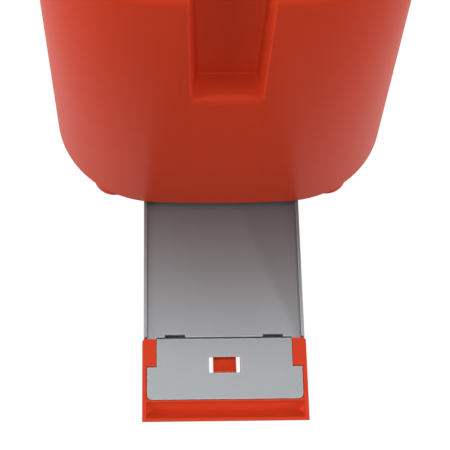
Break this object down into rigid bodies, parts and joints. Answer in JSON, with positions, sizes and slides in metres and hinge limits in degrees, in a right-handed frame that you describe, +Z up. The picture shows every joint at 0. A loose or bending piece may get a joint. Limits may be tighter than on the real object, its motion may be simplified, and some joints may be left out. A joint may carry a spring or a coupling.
{
  "type": "two-slot toaster",
  "caption": "Upright moulded toaster with round plan corners, a finger channel in each end, bread slots with a sprung lift, and a sheet-metal crumb tray drawn out on its clipped handle.",
  "frame": {"origin": "centre of the footprint on the table with the tray drawn out", "axes": "+Z up, +Y from the tray end to the lever end, +X to the right seen from the tray end"},
  "size_m": [0.168, 0.401, 0.196],
  "materials": {
    "orange_plastic": "satin moulded",
    "brushed_steel": "brushed",
    "rubber": "matt",
    "zinc_steel": "zinc plated",
    "galvanised_steel": "galvanised",
    "tray_metal": "mill finish",
    "mica": "mica card",
    "guide_wire": "plated wire",
    "copper_coil": "enamelled wire",
    "circuit_board": "laminate",
    "black_plastic": "matt",
    "grey_plastic": "satin"
  },
  "bodies": {
    "toaster": {"housing": "orange_plastic", "slot_deck": "brushed_steel", "base": "orange_plastic", "feet": "orange_plastic", "base_screws": "zinc_steel", "cord_gland": "rubber", "tray_rail_left": "galvanised_steel", "tray_rail_right": "galvanised_steel", "frame_front": "galvanised_steel", "frame_rear": "galvanised_steel", "reflector_left": "galvanised_steel", "reflector_right": "galvanised_steel", "element_left": "mica", "element_centre": "mica", "element_right": "mica", "guide_left_outer": "guide_wire", "guide_left_inner": "guide_wire", "guide_right_inner": "guide_wire", "guide_right_outer": "guide_wire", "guide_rod": "zinc_steel", "return_spring": "zinc_steel", "magnet_core": "zinc_steel", "magnet_coil": "copper_coil", "control_board": "circuit_board", "board_brackets": "galvanised_steel", "dial_body": "black_plastic", "button_switches": "black_plastic"},
    "lift": {"carriage": "galvanised_steel", "lifter_left": "galvanised_steel", "lifter_right": "galvanised_steel", "armature": "zinc_steel", "lever_knob": "orange_plastic"},
    "tray": {"tray_sheet": "tray_metal", "tray_handle": "orange_plastic"},
    "dial": {"browning_dial": "grey_plastic"},
    "cancel_button": {"button_left": "grey_plastic"},
    "reheat_button": {"button_middle": "grey_plastic"},
    "defrost_button": {"button_right": "grey_plastic"}
  },
  "joints": [
    {"name": "lift_slide", "type": "slide", "parent": "toaster", "child": "lift", "axis": [0, 0, 1], "range_m": [-0.054, 0], "stiffness_N_per_m": 80, "springref_m": 0.03, "deforming": ["return_spring"]},
    {"name": "tray_slide", "type": "slide", "parent": "toaster", "child": "tray", "axis": [0, 1, 0], "range_m": [-0.05, 0.104]},
    {"name": "dial_turn", "type": "hinge", "parent": "toaster", "child": "dial", "pos_m": [0, 0.1835, 0.054], "axis": [0, 1, 0], "range_deg": [-135, 135]},
    {"name": "cancel_press", "type": "slide", "parent": "toaster", "child": "cancel_button", "axis": [0, -1, 0], "range_m": [0, 0.0015], "stiffness_N_per_m": 400},
    {"name": "reheat_press", "type": "slide", "parent": "toaster", "child": "reheat_button", "axis": [0, -1, 0], "range_m": [0, 0.0015], "stiffness_N_per_m": 400},
    {"name": "defrost_press", "type": "slide", "parent": "toaster", "child": "defrost_button", "axis": [0, -1, 0], "range_m": [0, 0.0015], "stiffness_N_per_m": 400}
  ]
}
